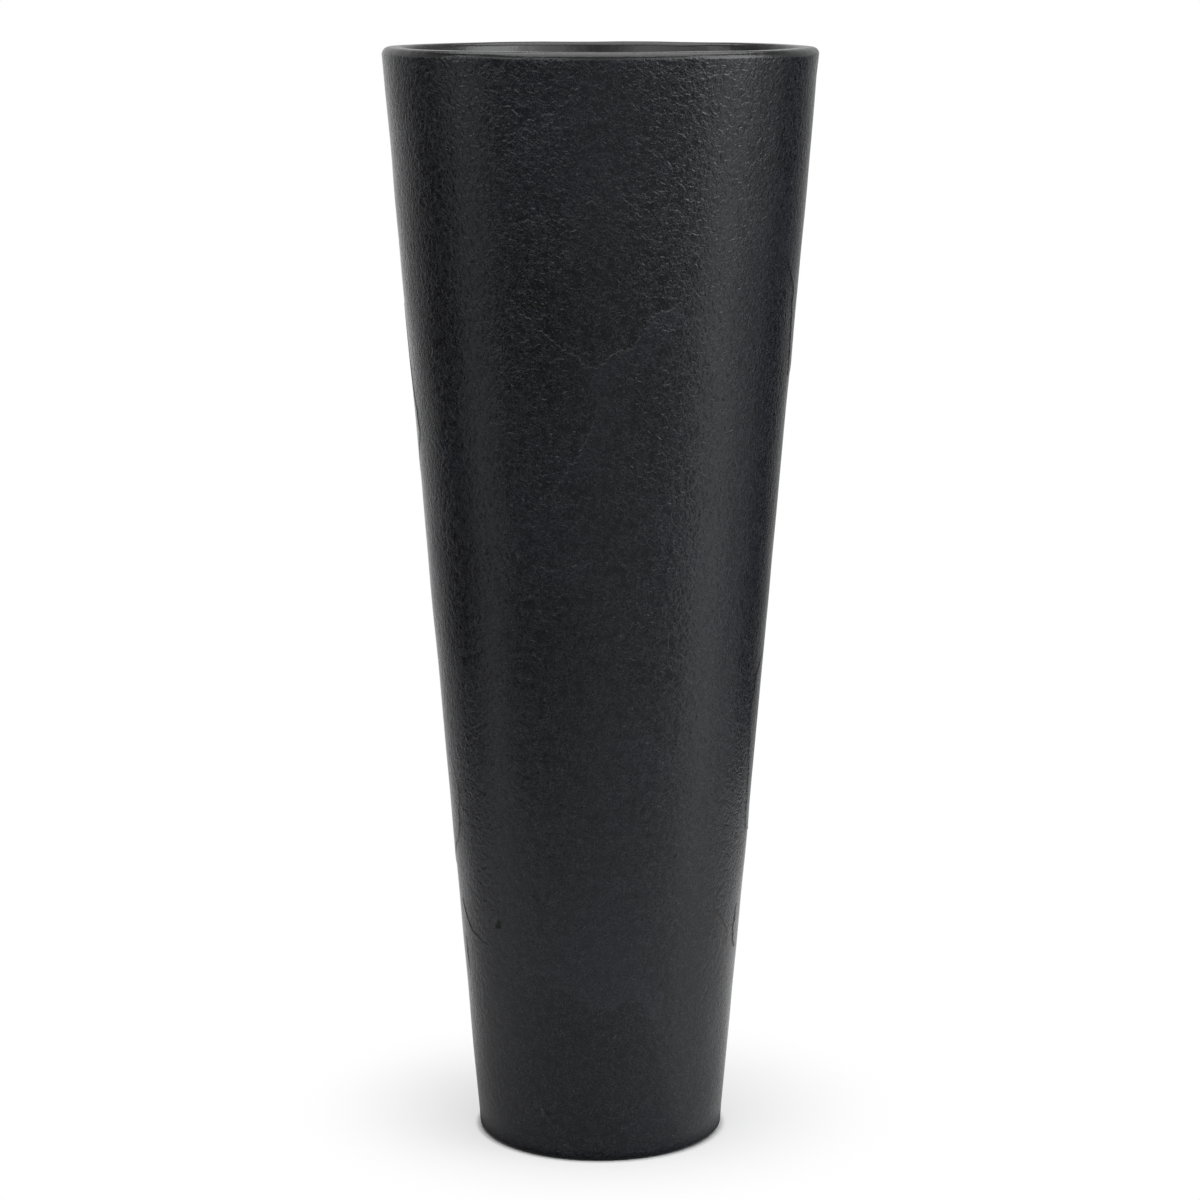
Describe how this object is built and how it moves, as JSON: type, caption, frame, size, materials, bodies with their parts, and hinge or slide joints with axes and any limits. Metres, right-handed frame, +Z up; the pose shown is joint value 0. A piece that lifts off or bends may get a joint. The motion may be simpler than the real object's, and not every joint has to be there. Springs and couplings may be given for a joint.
{
  "type": "floor planter",
  "caption": "Tall round planter that tapers down to a narrow foot, with a thick rolled lip, slate-effect skin, lift-out shelf and drain plug.",
  "frame": {"origin": "centre of the foot, on the floor that the pads stand on", "axes": "+Z up along the planter's axis; the pictured side faces -Y; the shelf's two finger holes lie along X"},
  "size_m": [0.3886, 0.3886, 1],
  "materials": {
    "slate_finish": "satin",
    "laminate": "satin",
    "rim_gelcoat": "satin",
    "core_foam": "matte",
    "drain_fitting": "satin",
    "seal_rubber": "matte",
    "plug_rubber": "matte",
    "shelf_plastic": "satin",
    "pad_rubber": "matte",
    "cleat_laminate": "satin"
  },
  "bodies": {
    "planter": {"slate_facing": "slate_finish", "laminate_shell": "laminate", "rim_ring": "rim_gelcoat", "rim_core": "core_foam", "foot_ring": "laminate", "floor_pan": "laminate", "drain_bushing": "drain_fitting", "drain_gasket": "seal_rubber", "drain_nut": "drain_fitting", "foot_pad_1": "pad_rubber", "shelf_cleat_1": "cleat_laminate", "foot_pad_2": "pad_rubber", "shelf_cleat_2": "cleat_laminate", "foot_pad_3": "pad_rubber", "shelf_cleat_3": "cleat_laminate", "foot_pad_4": "pad_rubber", "shelf_cleat_4": "cleat_laminate"},
    "shelf": {"shelf_board": "shelf_plastic"},
    "plug": {"drain_plug": "plug_rubber"}
  },
  "joints": [
    {"name": "shelf_lift", "type": "slide", "parent": "planter", "child": "shelf", "axis": [0, 0, 1], "range_m": [0, 0.4]},
    {"name": "plug_pull", "type": "slide", "parent": "planter", "child": "plug", "axis": [0, 0, 1], "range_m": [0, 0.06]}
  ]
}
